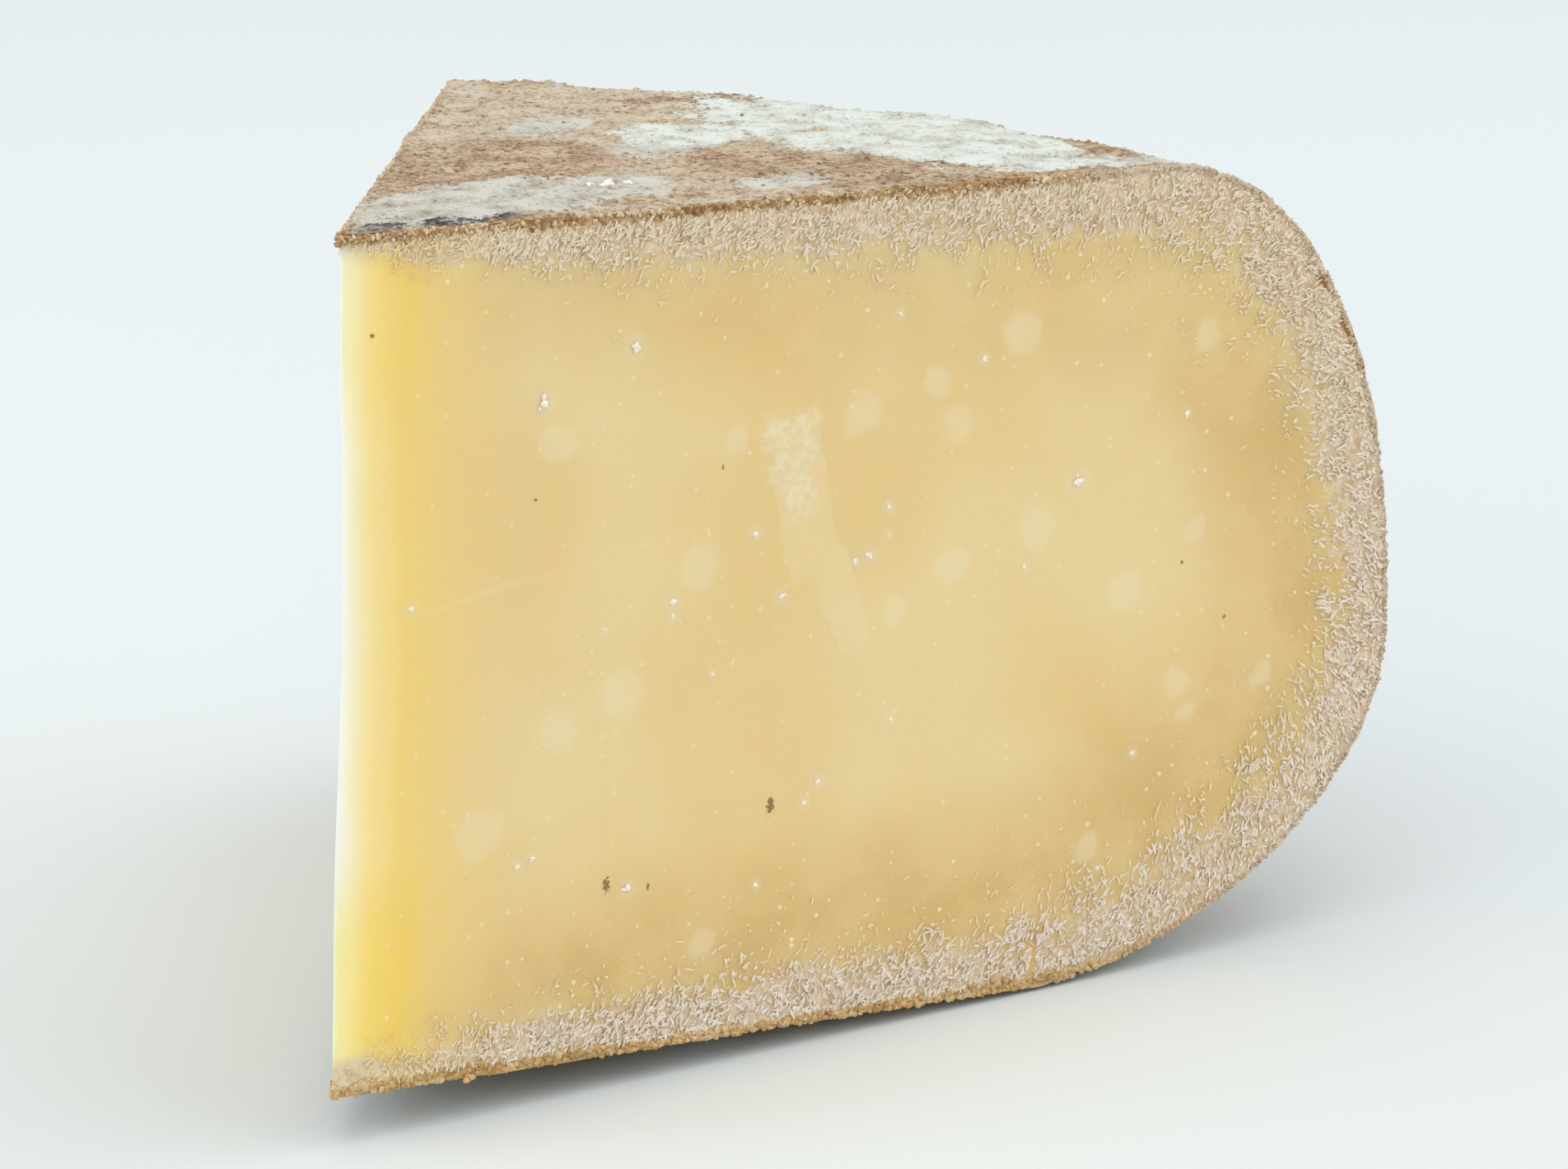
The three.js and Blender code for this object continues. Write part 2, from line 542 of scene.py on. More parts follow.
def inside_marks(flat, marks):
    """Which radius-and-height points lie in any of some oval marks."""
    inside = np.zeros(len(flat), bool)
    for along, up, wide, tall, lean in marks:
        aside, above = (flat / MM - (along, up)).T
        turn = math.radians(lean)
        across = aside * math.cos(turn) - above * math.sin(turn)
        upward = aside * math.sin(turn) + above * math.cos(turn)
        inside |= np.hypot(across / wide, upward / tall) < 1.1
    return inside


def fleck_spots(cut, chance):
    """Where the slivers of a cut lie, the way in from the rind there, and how dry it is."""
    edge, into, width = along_edge(chance, FLECK_TRIES)
    depth = chance.uniform(0.05, 2.4, FLECK_TRIES) * width
    depth += np.interp(edge[:, 0] / MM, (106, 126), (0.9, 0.2))
    flat = edge + into * depth[:, None] * MM
    clumps = swirl(on_cut(cut, flat, np.zeros(FLECK_TRIES)), 5 * MM)
    dryness = 1 - depth / width + 0.42 * clumps
    wanted = np.interp(dryness, (-1.3, -0.5, -0.1, 0.2, 0.55), (0.006, 0.04, 0.22, 0.6, 1.0))
    wanted *= np.interp(edge[:, 0] / MM, (0.5, 14), (0.1, 1)) * (flat[:, 0] > 0.5 * MM)
    bare = inside_marks(flat, CRACKS + RIM_GAPS)
    kept = np.flatnonzero((chance.random(FLECK_TRIES) < wanted) & ~bare)[:FLECK_COUNT]
    return flat[kept], into[kept], dryness[kept]


def torn_flecks(cut, seed):
    """Slivers of dried paste that the knife pulled up all along the border of a cut."""
    chance = np.random.default_rng(seed)
    flat, into, dryness = fleck_spots(cut, chance)
    count = len(flat)
    lean = np.radians(FLECK_LEAN + chance.normal(0, FLECK_LEAN_SPREAD, count))
    turned = np.column_stack([
        into[:, 0] * np.cos(lean) - into[:, 1] * np.sin(lean),
        into[:, 0] * np.sin(lean) + into[:, 1] * np.cos(lean)])
    turned *= chance.choice((-1, 1), (count, 1))  # half of them curl the other way
    rise = chance.uniform(0.02, 0.28, count)
    outwards, facing = (np.array(way) for way in CUTS[cut])
    along = turned[:, :1] * outwards + turned[:, 1:] * np.array([0, 0, 1]) + rise[:, None] * facing
    small = np.interp(dryness, (-0.6, 0.1), (0.6, 1.0))
    small *= np.interp(flat[:, 0] / MM, (2, 24), (0.6, 1.0))
    length = (0.35 + chance.exponential(0.32, count)).clip(0, 1.25) * small * MM
    sizes = chance.uniform(0.08, 0.26, count) * small * MM
    frames = frames_from(along, np.tile(facing, (count, 1)), sizes, length, sizes * 0.45)
    lift = (0.04 + rise * 0.3) * MM * small
    shred = pattern("shred", lambda t: 1 - 0.35 * t, 1.1, lambda t: 0.5 * t * t)
    flecks = copies_of(
        shred, f"torn_flecks_{cut}", on_cut(cut, flat, lift), frames, chance.random(count))
    write_numbers(flecks.data, DRYNESS, np.repeat(dryness, len(shred.data.vertices)))
    put_away(shred)
    return flecks


def edge_crumbs(cut, seed):
    """The crumbly line of rind along the edge of a cut."""
    chance = np.random.default_rng(seed)
    edge, into, _ = along_edge(chance, EDGE_CRUMB_COUNT)
    depth = chance.uniform(-0.05, 1.3, EDGE_CRUMB_COUNT)
    depth *= np.interp(edge[:, 0] / MM, (106, 126), (1.0, 0.55))
    thick = 1 + 0.6 * swirl(on_cut(cut, edge, np.zeros(EDGE_CRUMB_COUNT)), 7 * MM)
    flat = edge + into * (depth * thick)[:, None] * MM
    flat[:, 1] = flat[:, 1].clip(0.3 * MM, HEIGHT - 0.1 * MM)
    count = len(flat)
    sizes = chance.uniform(0.12, 0.34, count) * np.interp(flat[:, 1] / MM, (1.5, 6), (1.5, 1)) * MM
    return scattered_grains(
        f"edge_crumbs_{cut}", chance, on_cut(cut, flat, chance.uniform(-0.3, 0.15, count) * MM),
        np.tile(np.array(CUTS[cut][1]), (count, 1)), sizes)


def scattered_grains(name, chance, places, up, sizes):
    """Small lumps, each turned and stretched in its own way."""
    count = len(places)
    along = np.cross(up, chance.normal(size=(count, 3))) + 0.4 * chance.normal(size=(count, 3))
    stretch = chance.uniform(0.7, 1.3, (count, 3))
    frames = frames_from(
        along, up, sizes * stretch[:, 0], sizes * stretch[:, 1] * 1.25, sizes * stretch[:, 2] * 0.8)
    grain = pattern("grain", lambda t: 1 - 0.2 * t, 0, lambda t: 0.15 * t)
    grains = copies_of(grain, name, places, frames, chance.random(count))
    put_away(grain)
    return grains


def rind_crumbs(body, seed):
    """Grains all over the rind, thicker on top where it is seen best."""
    chance = np.random.default_rng(seed)
    faces = [face for face in body.data.polygons if face.material_index == 1]
    faces.sort(key=lambda face: sorted(face.vertices))  # the spin leaves them in any order
    centres = np.array([face.center for face in faces])
    normals = np.array([face.normal for face in faces])
    areas = np.array([face.area for face in faces])
    height = centres[:, 2] - NOSE.z
    wanted = areas * np.where(normals[:, 2] > 0.7, 6, 1) * (height > 2 * MM)
    chosen = chance.choice(len(faces), RIND_CRUMB_COUNT, p=wanted / wanted.sum())
    up = normals[chosen]
    slide = np.cross(up, chance.uniform(-1, 1, up.shape)) * (0.5 * np.sqrt(areas[chosen]))[:, None]
    places = centres[chosen] + slide
    sizes = 0.12 * MM + chance.exponential(0.09, len(up)).clip(0, 0.45) * MM
    kept = margin_of(places) > 0.4
    return scattered_grains("rind_crumbs", chance, places[kept], up[kept], sizes[kept])


def clustered(chance, middles, sizes, facing, grains_each):
    """Places and sizes of a few grains round each middle, the first one the largest."""
    places, grain_sizes = [], []
    for middle, size in zip(middles, sizes):
        for number in range(grains_each):
            shift = chance.normal(size=3) * (0 if number == 0 else 0.5 * size)
            shift -= facing * (shift @ facing) * 0.7
            places.append(middle + shift)
            grain_sizes.append(size * (0.75 if number == 0 else chance.uniform(0.3, 0.55)))
    return np.array(places), np.array(grain_sizes)


def white_crystals(seed):
    """Hard white specks in both cuts: placed ones in front, strewn ones behind."""
    chance = np.random.default_rng(seed)
    front = np.array(CRYSTALS)
    strewn = np.column_stack([
        chance.uniform(15, 140, 22), chance.uniform(16, 92, 22), chance.uniform(0.3, 0.8, 22)])
    places, sizes, up = [], [], []
    for cut, spots in (("front", front), ("back", strewn)):
        facing = np.array(CUTS[cut][1])
        middles = on_cut(cut, spots[:, :2] * MM, np.full(len(spots), 0.02 * MM))
        spread, grain_sizes = clustered(chance, middles, spots[:, 2] * 0.85 * MM, facing, 5)
        places.append(spread)
        sizes.append(grain_sizes)
        up.append(np.tile(facing, (len(spread), 1)))
    crumbs = np.array(WHITE_CRUMBS)
    spread, grain_sizes = clustered(
        chance, on_top(crumbs), crumbs[:, 2] * MM, np.array([0, 0, 1.0]), 7)
    places.append(spread)
    sizes.append(grain_sizes)
    up.append(np.tile([0, 0, 1.0], (len(spread), 1)))
    return scattered_grains(
        "white_crystals", chance, np.concatenate(places), np.concatenate(up), np.concatenate(sizes))


def hanging_crumbs(seed):
    """Bits of rind that cling under the front edge, and a few that lie on top."""
    chance = np.random.default_rng(seed)
    hanging = np.array(HANGING)
    lumps = np.array(TOP_LUMPS)
    middles = np.concatenate([
        on_cut("front", hanging[:, :2] * MM, hanging[:, 2] * MM), on_top(lumps)])
    sizes = np.concatenate([hanging[:, 3], lumps[:, 2]]) * MM
    places, sizes = clustered(chance, middles, sizes, np.array([0, 0, 1.0]), 9)
    return scattered_grains(
        "hanging_crumbs", chance, places, np.tile([0, -0.6, 0.8], (len(places), 1)), sizes)


# ------------------------ materials

class Finish:
    """A material whose nodes are added one short call at a time."""

    def __init__(self, name):
        self.material = bpy.data.materials.new(name)
        self.material.use_nodes = True
        self.nodes = self.material.node_tree.nodes
        self.links = self.material.node_tree.links
        self.nodes.clear()

    def node(self, kind, inputs, **settings):
        """A new node; each input takes a value or what another node puts out."""
        node = self.nodes.new(kind)
        for name, value in settings.items():
            setattr(node, name, value)
        for name, value in inputs.items():
            if isinstance(value, bpy.types.NodeSocket):
                self.links.new(value, node.inputs[name])
            else:
                node.inputs[name].default_value = value
        return node

    def place(self):
        """Where the point is, in metres."""
        return self.node("ShaderNodeTexCoord", {}).outputs["Object"]

    def number(self, name):
        """A number stored on the points of the mesh."""
        return self.node("ShaderNodeAttribute", {}, attribute_name=name).outputs["Fac"]

    def split(self, place):
        return self.node("ShaderNodeSeparateXYZ", {0: place}).outputs

    def bent(self, place, grain, reach):
        """The place, pushed about by soft noise, so that marks get uneven outlines."""
        noise_colour = self.node("ShaderNodeTexNoise", {"Vector": place, "Scale": 1 / grain})
        centred = self.node(
            "ShaderNodeVectorMath", {0: place, 1: (reach / 2,) * 3}, operation="SUBTRACT")
        push = self.node(
            "ShaderNodeVectorMath",
            {0: noise_colour.outputs["Color"], 1: (reach,) * 3, 2: centred.outputs["Vector"]},
            operation="MULTIPLY_ADD")
        return push.outputs["Vector"]

    def clouds(self, place, grain, detail=3.0, rough=0.5, twist=0.0):
        """Soft noise from 0 to 1 whose lumps are about grain across."""
        node = self.node("ShaderNodeTexNoise", {
            "Vector": place, "Scale": 1 / grain, "Detail": detail, "Roughness": rough,
            "Distortion": twist})
        return node.outputs["Fac"]

    def cells(self, place, grain):
        """Many scattered points, about grain apart: the distance to one, and its own number."""
        node = self.node("ShaderNodeTexVoronoi", {"Vector": place, "Scale": 1 / grain})
        return node.outputs["Distance"], self.split(node.outputs["Color"])[0]

    def between(self, value, low, high, start=0.0, end=1.0):
        """start below low, end above high, and smooth in between."""
        node = self.node(
            "ShaderNodeMapRange",
            {"Value": value, "From Min": low, "From Max": high, "To Min": start, "To Max": end},
            interpolation_type="SMOOTHSTEP")
        return node.outputs["Result"]

    def sum(self, first, second, operation="ADD"):
        return self.node("ShaderNodeMath", {0: first, 1: second}, operation=operation).outputs[0]

    def times(self, first, second):
        return self.sum(first, second, "MULTIPLY")

    def most(self, first, second):
        return self.sum(first, second, "MAXIMUM")

    def opposite(self, share):
        """1 where share is 0, and 0 where it is 1."""
        return self.sum(1.0, share, "SUBTRACT")

    def sway(self, noise_value, amount):
        """Noise from 0 to 1 as a push either way, of up to half the amount."""
        return self.times(self.sum(noise_value, -0.5), amount)

    def blend(self, share, under, over, mode="MIX"):
        """One colour over another: under where share is 0, over where it is 1."""
        node = self.node(
            "ShaderNodeMix", {"Factor": share, 6: under, 7: over},
            data_type="RGBA", blend_type=mode)
        return node.outputs[2]

    def ramp(self, value, stops):
        """A colour for each value, through a few stops of (value from 0 to 1, colour)."""
        node = self.node("ShaderNodeValToRGB", {"Fac": value})
        marks = node.color_ramp.elements
        while len(marks) < len(stops):
            marks.new(0.5)
        for mark, (position, colour) in zip(marks, stops):
            mark.position = position
            mark.color = colour
        return node.outputs["Color"]

    def measure(self, place, centre, size, turn=(0, 0, 0), square=False):
        """The distance from a centre, counted in sizes that can differ along each direction."""
        node = self.node(
            "ShaderNodeMapping",
            {"Vector": place, "Location": centre, "Rotation": turn, "Scale": size},
            vector_type="TEXTURE")
        inside = node.outputs["Vector"]
        if square:
            sides = [self.sum(side, 0.0, "ABSOLUTE") for side in self.split(inside)]
            return self.most(self.most(sides[0], sides[1]), sides[2])
        return self.node(
            "ShaderNodeVectorMath", {0: inside}, operation="LENGTH").outputs["Value"]

    def patch(self, place, centre, size, soft=0.3, turn=(0, 0, 0), square=False):
        """1 inside an oval or a block and 0 outside it, with an edge of the given softness."""
        far = self.measure(place, centre, size, turn, square)
        return self.between(far, 1 - soft, 1 + soft, 1.0, 0.0)

    def torn(self, share, ragged, amount):
        """A patch broken up by noise, most of all along its soft edge."""
        broken = self.between(self.sum(share, self.sway(ragged, amount)), 0.36, 0.66)
        return self.times(broken, self.between(share, 0.0, 0.2))

    def bump(self, height, depth, strength, under=(0, 0, 0)):
        """Relief in the shading, on top of the relief that is under it."""
        node = self.node("ShaderNodeBump", {
            "Distance": depth, "Strength": strength, "Height": height, "Normal": under})
        return node.outputs["Normal"]

    def surface(self, colour, roughness, normal, glow=0.0, reach=(1, 1, 1), shine=0.5):
        """The Principled shader: glow is how much light goes in and out again."""
        shader = self.node("ShaderNodeBsdfPrincipled", {
            "Base Color": colour, "Roughness": roughness, "Normal": normal,
            "Subsurface Weight": glow, "Subsurface Radius": reach, "Subsurface Scale": MM,
            "Specular IOR Level": shine})
        self.node("ShaderNodeOutputMaterial", {"Surface": shader.outputs[0]})
        return self.material


def on_front(along, up):
    """A place on the front cut face, given in millimetres from the nose and the underside."""
    return (NOSE.x + along * MM, NOSE.y, NOSE.z + up * MM)


def marks_on_front(finish, place, marks, soft, square=False):
    """Marks on the front cut: along, up, half width and half height, lean in degrees."""
    shown = 0.0
    for along, up, wide, tall, lean in marks:
        mark = finish.patch(
            place, on_front(along, up), (wide * MM, 2 * MM, tall * MM), soft,
            (0, math.radians(lean), 0), square)
        shown = finish.most(shown, mark)
    return shown


def on_rim(finish, place):
    """1 round the bulging rim, where the rind is palest, and 0 on the two flats."""
    from_axis = finish.measure(place, tuple(NOSE), (1, 1, 1000))
    return finish.between(from_axis, 98 * MM, 120 * MM)


def behind(finish, place):
    """0 close to the front cut and 1 further back."""
    return finish.between(finish.split(place)[1], NOSE.y + 4 * MM, NOSE.y + 8 * MM)


def near_underside(finish, place):
    """How golden the rind's line is: most at the underside's edge."""
    return finish.between(finish.split(place)[2], 4 * MM, 12 * MM, 0.55, 0.0)


def pale_discs(finish, place):
    """Soft round eyes of paler paste: placed ones in front, strewn ones behind."""
    placed = marks_on_front(
        finish, place, [(along, up, size, size, 0) for along, up, size in PALE_DISCS], 0.34)
    distance, own = finish.cells(place, 17 * MM)
    strewn = finish.times(
        finish.between(distance, 0.11, 0.15, 1.0, 0.0), finish.between(own, 0.55, 0.6))
    return finish.most(placed, finish.times(strewn, behind(finish, place)))


def pale_specks(finish, place, grain, low, high):
    """Tiny light specks strewn in the paste, in sizes that change from place to place."""
    distance, own = finish.cells(place, grain)
    reach = finish.between(own, 0.45, 1.0, low, high)
    return finish.between(distance, reach, finish.sum(reach, 0.05), 1.0, 0.0)


def nose_light(finish, place, colour, strength=1.0):
    """Painted light: towards the nose the paste is thin, so light comes through and it looks
    yellow; this glow is painted into the colour.
    """
    far = finish.measure(place, tuple(NOSE), (30 * MM, 30 * MM, 1000))
    far = finish.sum(far, finish.sway(finish.clouds(place, 26 * MM, 2, 0.4), 0.12))
    shade = finish.ramp(far, PAINTED_NOSE_GLOW)
    height = finish.split(place)[2]
    ends = finish.most(
        finish.between(height, 18 * MM, 34 * MM, 1.0, 0.0),
        finish.between(height, 80 * MM, 95 * MM, 0.0, 0.6))
    ends = finish.times(ends, finish.between(far, 0.15, 0.55, 1.0, 0.0))
    shade = finish.blend(ends, shade, NOSE_GLOW_TINT, "MULTIPLY")
    return finish.blend(finish.between(far, 0.3, 0.95, strength, 0.0), colour, shade)


def plain_paste(finish, place, dryness, blotch):
    """The waxy paste without its marks: deeper towards the border, and yellow by the nose from a
    painted glow of light through the thin paste.
    """
    broad = finish.clouds(place, 30 * MM, 2, 0.4)
    middle = finish.blend(finish.between(broad, 0.35, 0.65), PASTE_WARM, PASTE_PALE)
    ochre = finish.blend(finish.between(blotch, 0.35, 0.65), OCHRE_DEEP, OCHRE)
    deepening = finish.times(
        finish.between(dryness, -2.8, -0.35),
        finish.between(finish.split(place)[2], 70 * MM, 96 * MM, 1.0, 0.5))
    colour = finish.blend(deepening, middle, ochre)
    colour = finish.blend(finish.between(blotch, 0.4, 0.7, 0.0, 0.14), colour, PASTE_PALE)
    return nose_light(finish, place, colour)


def pale_marks(finish, place, bent, dryness, colour):
    """Pale discs, a painted glow of light round the crystals, tiny specks and a scratch, over the
    paste.
    """
    colour = finish.blend(finish.times(pale_discs(finish, bent), 0.34), colour, DISC)
    # Painted glow: a soft pale halo of light round each crystal, in the discs' colour.
    crystal_glows = [(along, up, 1.7 * size, 1.7 * size, 0) for along, up, size in CRYSTALS]
    crystal_glow = marks_on_front(finish, place, crystal_glows, 0.9)
    colour = finish.blend(finish.times(crystal_glow, 0.45), colour, DISC)
    specks = pale_specks(finish, place, 1.9 * MM, -0.03, 0.15)
    specks = finish.times(specks, finish.between(dryness, -2.2, -0.2, 0.55, 0.9))
    colour = finish.blend(specks, colour, SPECK)
    scratch = marks_on_front(finish, place, SCRATCHES, 0.9)
    return finish.blend(finish.times(scratch, 0.28), colour, SPECK)


def dragged_streak(finish, bent, fine, colour):
    """The streak of paste dragged over the cut: the colour with it on, and its height."""
    smear = finish.most(
        marks_on_front(finish, bent, SMEAR_BARS, 0.09, square=True),
        marks_on_front(finish, bent, SMEAR_TAILS, 0.12))
    frost = marks_on_front(finish, bent, FROSTED_BARS, 0.35, square=True)
    frost = finish.times(frost, finish.between(fine, 0.4, 0.6, 0.15, 0.75))
    colour = finish.blend(finish.times(smear, 0.42), colour, SMEAR)
    return finish.blend(frost, colour, DISC), finish.sum(smear, frost)


def dry_border(finish, place, dryness, blotch, fine, colour):
    """The ragged dry border over the paste, and the thin crust beside the rind."""
    ragged = finish.sum(dryness, finish.sway(blotch, 1.2))
    ragged = finish.sum(ragged, finish.sway(fine, 0.8))
    dry = finish.blend(finish.between(fine, 0.35, 0.62), DRY_GAP, DRY_LIGHT)
    colour = finish.blend(finish.between(ragged, 0.02, 0.45, 0.0, 0.92), colour, dry)
    crust = finish.blend(finish.between(fine, 0.35, 0.65), CRUST_DARK, CRUST_GOLD)
    crust = finish.blend(on_rim(finish, place), crust, RIM_CRUST)
    crust = finish.blend(near_underside(finish, place), crust, GOLD)
    uneven = finish.times(finish.clouds(place, 2.2 * MM, 3, 0.6), 2.0)
    edge = finish.sum(finish.number(DEPTH), uneven)
    return finish.blend(finish.between(edge, 1.6, 2.4, 0.9, 0.0), colour, crust)


def gaps_and_pits(finish, place, bent, colour):
    """Gaps by the rim and pits drawn in painted shade, and a crack: the colour with them on, and
    the pits.
    """
    crumbled = finish.clouds(place, 0.4 * MM, 2, 0.6)
    gaps = finish.torn(marks_on_front(finish, bent, RIM_GAPS, 0.9), crumbled, 2.5)
    # Painted shade in the gaps by the rim.
    colour = finish.blend(gaps, colour, GAP)
    colour = finish.blend(marks_on_front(finish, place, CRACKS, 0.6), colour, CRACK)
    pits = finish.torn(marks_on_front(finish, place, SHADED_PITS, 0.9), crumbled, 2.5)
    return finish.blend(finish.times(pits, 0.85), colour, PIT), pits


def cut_paste():
    """The cut faces: waxy paste, darker towards a dry, torn border under the rind."""
    finish = Finish("cut_paste")
    place = finish.place()
    bent = finish.bent(place, 3.5 * MM, 3 * MM)
    dryness = finish.number(DRYNESS)
    blotch = finish.clouds(place, 9 * MM, 3, 0.5)
    fine = finish.clouds(place, 1.2 * MM, 4, 0.65)

    colour = plain_paste(finish, place, dryness, blotch)
    colour = pale_marks(finish, place, bent, dryness, colour)
    colour, streak = dragged_streak(finish, bent, fine, colour)
    colour = dry_border(finish, place, dryness, blotch, fine, colour)
    colour, pits = gaps_and_pits(finish, place, bent, colour)

    grain = finish.times(fine, finish.between(dryness, -0.5, 0.3, 0.1, 1.0))
    relief = finish.bump(grain, 0.5 * MM, 0.8)
    relief = finish.bump(blotch, 0.4 * MM, 0.2, relief)
    relief = finish.bump(finish.opposite(pits), 0.4 * MM, 0.8, relief)
    relief = finish.bump(streak, 0.15 * MM, 0.7, relief)
    waxy = finish.between(dryness, -0.4, 0.3, 0.46, 0.85)
    roughness = finish.sum(waxy, finish.sway(blotch, 0.12))
    glow = finish.between(dryness, -0.5, 0.3, 1.0, 0.15)
    return finish.surface(colour, roughness, relief, glow=glow, reach=(5.0, 3.0, 1.4), shine=0.3)


def dry_flecks():
    """The torn slivers: cream and pinkish-grey tips on browner roots."""
    finish = Finish("dry_flecks")
    place = finish.place()
    tone = finish.number(TONE)
    height = finish.split(place)[2]
    upper = finish.between(height, 45 * MM, 100 * MM)
    cream = finish.blend(upper, FLECK_PINK, FLECK_CREAM)
    tip = finish.blend(finish.between(tone, 0.0, 1.0, 0.35), FLECK_SHADE, cream)
    colour = finish.blend(finish.between(finish.number(TIP), 0.0, 0.75), FLECK_ROOT, tip)
    waxy = finish.between(finish.number(DRYNESS), -0.4, 0.35, 0.8, 0.0)
    colour = finish.blend(waxy, colour, FLECK_YELLOW)
    # Painted glow of light through the thin nose, at half strength.
    colour = nose_light(finish, place, colour, 0.5)
    fine = finish.clouds(place, 0.5 * MM, 2, 0.5)
    colour = finish.blend(finish.between(fine, 0.4, 0.7, 0.0, 0.3), colour, FLECK_ROOT)
    relief = finish.bump(fine, 0.1 * MM, 0.4)
    return finish.surface(colour, 0.7, relief, shine=0.3)


def crumbly_edge():
    """The line of rind along the cuts: dark brown, golden and tan crumbs."""
    finish = Finish("crumbly_edge")
    place = finish.place()
    tone = finish.number(TONE)
    drift = finish.clouds(place, 9 * MM, 3, 0.6)
    sort = finish.sum(tone, finish.times(finish.sum(drift, -0.45), 2.2))
    colour = finish.ramp(sort, EDGE_SHADES)
    pale = finish.most(
        finish.times(on_rim(finish, place), 0.85), finish.times(behind(finish, place), 0.6))
    colour = finish.blend(pale, colour, RIM_CRUST)
    colour = finish.blend(near_underside(finish, place), colour, GOLD)
    fine = finish.clouds(place, 0.5 * MM, 3, 0.6)
    colour = finish.blend(finish.between(fine, 0.35, 0.6, 0.45, 0.0), colour, CRUST_DARK)
    relief = finish.bump(fine, 0.15 * MM, 0.6)
    return finish.surface(colour, 0.8, relief, shine=0.25)


def rind_paints(finish, mid, fine):
    """The rind's five kinds of colour, each with a darker and a lighter shade."""
    return {
        "tan": finish.blend(finish.between(mid, 0.35, 0.65), TAN_DEEP, TAN),
        "brown": finish.blend(finish.between(mid, 0.35, 0.65), BROWN_DEEP, BROWN),
        "chalk": finish.blend(finish.between(mid, 0.35, 0.6), CHALK_DULL, CHALK),
        "white": finish.blend(finish.between(mid, 0.35, 0.6), WHITE_DULL, WHITE),
        "mould": finish.blend(finish.between(fine, 0.4, 0.6), MOULD_DARK, MOULD)}


def rind_colour(finish, place, mid, fine):
    """Tan and brown rind with chalky bloom: strewn on the rim, placed on the top."""
    paints = rind_paints(finish, mid, fine)
    far = finish.clouds(place, 22 * MM, 4, 0.6, 0.6)
    colour = finish.blend(finish.between(far, 0.42, 0.5), paints["brown"], paints["tan"])
    colour = finish.blend(finish.between(far, 0.54, 0.6), colour, paints["chalk"])
    near_top = finish.between(finish.split(place)[2], HEIGHT - 9 * MM, HEIGHT - 4 * MM)
    ragged = finish.sum(finish.times(mid, 0.45), finish.times(fine, 0.55))
    for kind, along, across, wide, deep, lean in TOP_PATCHES:
        centre = (NOSE.x + along * MM, NOSE.y + across * MM, HEIGHT)
        oval = finish.patch(
            place, centre, (wide * MM, deep * MM, 1), 0.35, (0, 0, math.radians(lean)))
        solid, broken = PATCH_KINDS.get(kind, (1.0, 2.5))
        share = finish.torn(finish.times(finish.times(oval, near_top), solid), ragged, broken)
        colour = finish.blend(share, colour, paints[kind])
    return colour


def mottled_rind(name, gap):
    """The brushed rind; gap is how dark the pits between its grains are."""
    finish = Finish(name)
    place = finish.place()
    mid = finish.clouds(place, 6 * MM, 4, 0.62)
    fine = finish.clouds(place, 1.0 * MM, 5, 0.7)
    colour = rind_colour(finish, place, mid, fine)
    margin = finish.sum(finish.number(MARGIN), finish.times(fine, 2.0))
    margin = finish.sum(margin, finish.times(mid, 2.0))
    lip = finish.blend(finish.between(fine, 0.35, 0.65), LIP_DARK, LIP)
    lip = finish.blend(finish.times(on_rim(finish, place), 0.75), lip, RIM_CRUST)
    edge = finish.times(
        finish.between(margin, 2.2, 4.2, 0.85, 0.0),
        finish.between(behind(finish, place), 0.0, 1.0, 1.0, 0.4))
    colour = finish.blend(edge, colour, lip)
    smooth = finish.between(finish.split(colour)[2], 0.25, 0.6)
    pitted = finish.times(finish.between(fine, 0.36, 0.52, gap, 0.0), finish.opposite(smooth))
    colour = finish.blend(pitted, colour, RIND_PIT)
    colour = finish.blend(finish.between(fine, 0.56, 0.72, 0.0, 0.45), colour, RIND_GRAIN)
    dots, own = finish.cells(place, 3.4 * MM)
    dots = finish.times(finish.between(dots, 0.07, 0.14, 0.8, 0.0), finish.between(own, 0.6, 0.62))
    colour = finish.blend(dots, colour, RIND_PIT)
    relief = finish.bump(fine, 0.6 * MM, 0.9)
    relief = finish.bump(mid, 1.0 * MM, 0.5, relief)
    roughness = finish.between(mid, 0.3, 0.7, 0.82, 0.94)
    return finish.surface(colour, roughness, relief, shine=0.25)


def crystal_white():
    finish = Finish("crystal_white")
    place = finish.place()
    fine = finish.clouds(place, 0.4 * MM, 3, 0.6)
    warm = finish.blend(finish.between(finish.number(TONE), 0.0, 0.7), CRYSTAL_WARM, CRYSTAL)
    colour = finish.blend(finish.between(fine, 0.3, 0.5, 0.3, 0.0), warm, SPECK)
    relief = finish.bump(fine, 0.15 * MM, 0.6)
    return finish.surface(colour, 0.45, relief, shine=0.5)


# ------------------------ camera, light and floor

def camera():
    data = bpy.data.cameras.new("camera")
    data.lens = LENS
    data.sensor_width = 36
    data.clip_start = 0.05
    data.clip_end = 50
    view = bpy.data.objects.new("camera", data)
    bpy.context.collection.objects.link(view)
    level = Matrix.Rotation(CAMERA_AZIMUTH, 4, "Z")
    tipped = Matrix.Rotation(math.pi / 2 - CAMERA_DOWN, 4, "X")
    rolled = Matrix.Rotation(CAMERA_ROLL, 4, "Z")
    view.matrix_world = Matrix.Translation(NOSE + CAMERA_FROM_NOSE) @ level @ tipped @ rolled
    bpy.context.scene.camera = view


def soft_sun(name, toward, wide, power):
    """Even light from a large patch of sky; toward points from the wedge to the patch."""
    data = bpy.data.lights.new(name, "SUN")
    data.angle = math.radians(wide)
    data.energy = power
    lamp = bpy.data.objects.new(name, data)
    bpy.context.collection.objects.link(lamp)
    lamp.rotation_euler = (-Vector(toward)).to_track_quat("-Z", "Y").to_euler()


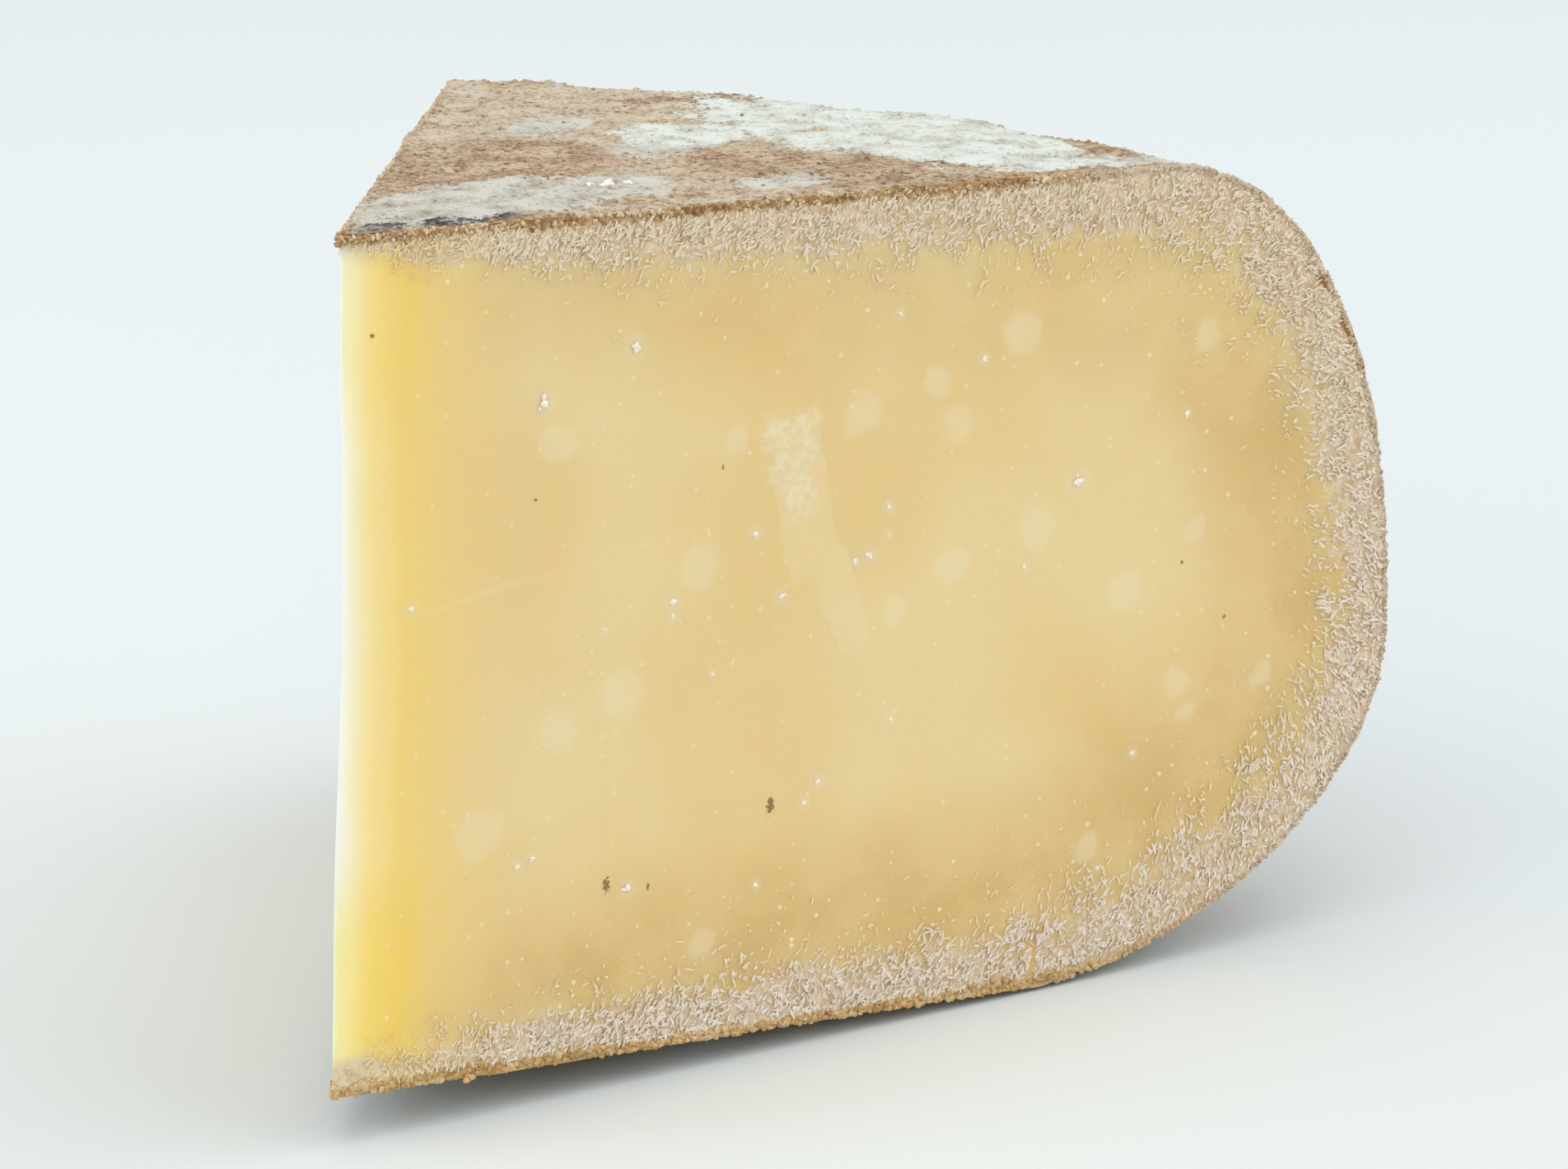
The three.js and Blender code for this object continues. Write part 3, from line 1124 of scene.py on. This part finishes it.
def soft_box(name, place, size, power):
    """A square lamp that looks at the middle of the wedge."""
    data = bpy.data.lights.new(name, "AREA")
    data.size = size
    data.energy = power
    lamp = bpy.data.objects.new(name, data)
    bpy.context.collection.objects.link(lamp)
    lamp.location = place
    aim = Vector((0, 0, HEIGHT / 2)) - lamp.location
    lamp.rotation_euler = aim.to_track_quat("-Z", "Y").to_euler()


def studio():
    world = bpy.data.worlds.new("studio")
    world.use_nodes = True
    background = world.node_tree.nodes["Background"]
    background.inputs["Color"].default_value = SKY_COLOUR
    background.inputs["Strength"].default_value = SKY_STRENGTH
    bpy.context.scene.world = world
    for lamp in SOFT_BOXES:
        soft_box(*lamp)
    for lamp in SOFT_SUNS:
        soft_sun(*lamp)
    bpy.context.scene.view_settings.view_transform = "Standard"


def table_top():
    """A pale table. The wedge rests on its rounded underside with the nose a little off it."""
    finish = Finish("table")
    place = finish.place()
    cloud = finish.clouds(place, 0.4, 2, 0.4)
    colour = finish.blend(finish.between(cloud, 0.3, 0.7), TABLE, TABLE_LIGHT)
    material = finish.surface(colour, 0.7, finish.bump(cloud, 0.001, 0.05), shine=0.2)
    bpy.ops.object.select_all(action="DESELECT")
    bpy.ops.mesh.primitive_plane_add(size=12)
    floor = bpy.context.object
    floor.name = "table"
    across = Vector((-BISECTOR.y, BISECTOR.x, 0))
    touching = NOSE + BISECTOR * (UNDERSIDE_FLAT + MM)
    floor.data.transform(
        Matrix.Translation(touching) @ Matrix.Rotation(-TIPPED, 4, across))
    floor.data.materials.append(material)


# ------------------------ putting it together

def finish_body(body):
    """Lumps and grain on the rind, a torn border on the cuts, and both finishes."""
    mesh = body.data
    depth = numbers_of(mesh, DEPTH)
    dryness = numbers_of(mesh, DRYNESS)
    on_rind = depth < ON_RIND
    write_numbers(mesh, MARGIN, margin_of(points_of(mesh)))
    mesh.materials.clear()
    mesh.materials.append(cut_paste())
    mesh.materials.append(mottled_rind("mottled_rind", 0.85))
    for face in mesh.polygons:
        face.material_index = int(all(on_rind[vertex] for vertex in face.vertices))
    group_points(body, "rind", on_rind.astype(float))
    group_points(body, "border", np.where(on_rind, 0, ((dryness + 0.3) / 0.6).clip(0, 1)))
    group_points(body, "paste", (depth / 14).clip(0, 1))
    for group, grain, height in RELIEF:
        roughen(body, group, grain * MM, height * MM)
    points = points_of(mesh)
    points[:, 2] = points[:, 2].clip(lowest.z, None)
    place_points(mesh, points)
    only(body)
    bpy.ops.object.shade_smooth_by_angle(angle=math.radians(50))


def dress(piece, material):
    """Gives a loose piece its material and ties it to the part."""
    piece.data.materials.clear()
    piece.data.materials.append(material)
    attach(piece, "root")


camera()
studio()
table_top()

body = bare_wedge()
finish_body(body)
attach(body, "root")
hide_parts(WEDGE)

fleck_material = dry_flecks()
edge_material = crumbly_edge()
for number, cut in enumerate(CUTS):
    dress(torn_flecks(cut, 11 + number), fleck_material)
    dress(edge_crumbs(cut, 21 + number), edge_material)
dress(rind_crumbs(body, 31), mottled_rind("rind_grains", 0.6))
dress(hanging_crumbs(41), edge_material)
dress(white_crystals(51), crystal_white())
